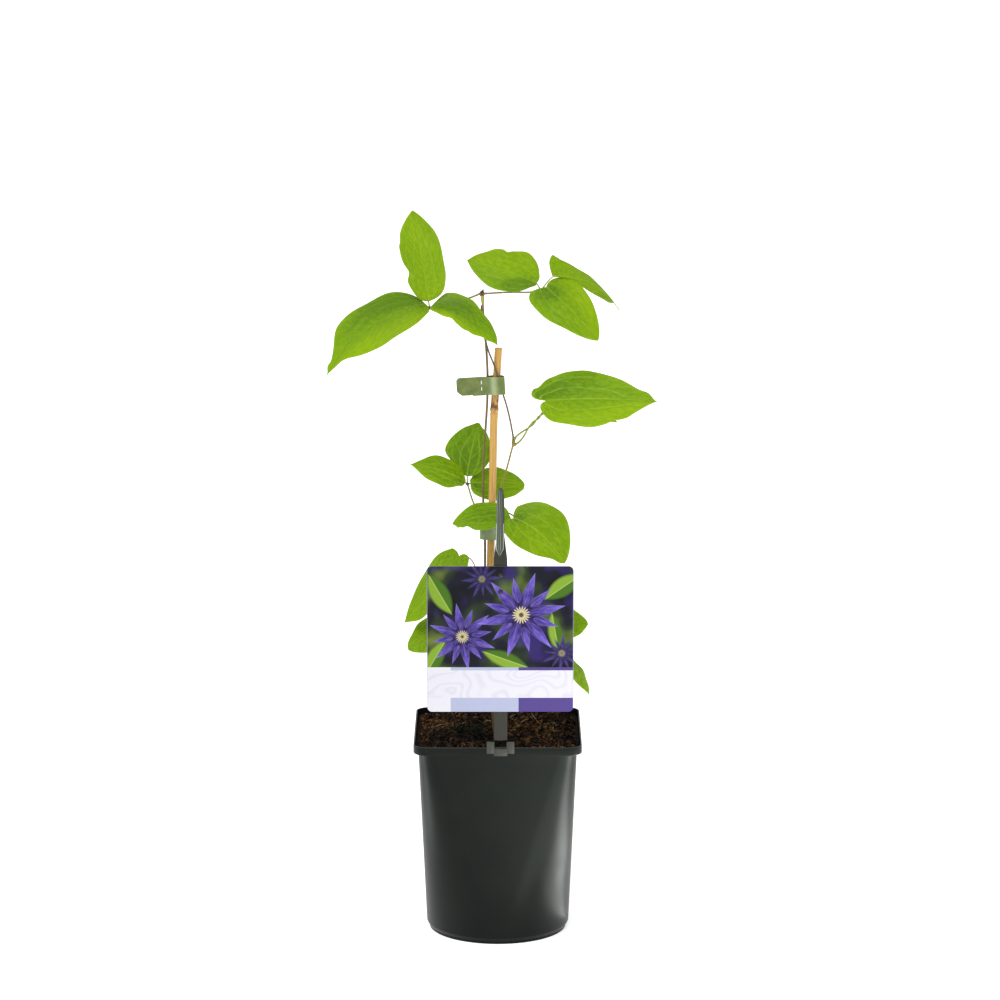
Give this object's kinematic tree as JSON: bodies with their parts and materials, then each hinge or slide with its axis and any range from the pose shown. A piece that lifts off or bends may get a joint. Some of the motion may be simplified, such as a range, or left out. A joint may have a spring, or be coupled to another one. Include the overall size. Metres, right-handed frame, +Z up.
{
  "type": "potted clematis on a bamboo cane",
  "caption": "Young climbing plant in a square-rimmed nursery pot, tied to a bamboo cane, with a plain picture label on a clip-on holder.",
  "frame": {"origin": "centre of the pot's base, on the surface that the pot stands on", "axes": "+Z up along the pot and the cane, -Y to the front, where the label faces, +X to the right of somebody who reads the label"},
  "size_m": [0.2512, 0.1401, 0.566],
  "materials": {
    "pot_plastic": "moulded black-green polypropylene, satin, with fine specks",
    "peat": "dark brown fibrous peat, rough and damp",
    "bamboo": "natural bamboo cane, smooth skin with paler and browner streaks",
    "brown_stem": "thin woody stem, brown and faintly ridged",
    "grey_stem": "thin wiry stem, olive to orange-yellow",
    "leaf": "fresh green leaf, satin, with paler raised veins",
    "strap_plastic": "soft sage-green plastic strap",
    "holder_plastic": "smoky grey-green moulded plastic",
    "printed_card": null
  },
  "bodies": {
    "root": {"pot": "pot_plastic", "soil": "peat", "cane": "bamboo", "stem_main": "brown_stem", "stem_second": "grey_stem", "leaf_top_left": "leaf", "leaf_top_right": "leaf", "leaf_right": "leaf", "leaf_right_partner": "leaf", "leaf_middle_left": "leaf", "leaf_pair_left": "leaf", "leaf_pair_right": "leaf", "leaf_lower_left": "leaf", "leaf_lower_right": "leaf", "tie_upper": "strap_plastic", "tie_lower": "strap_plastic", "label_holder": "holder_plastic", "label_card": "printed_card"}
  },
  "joints": []
}
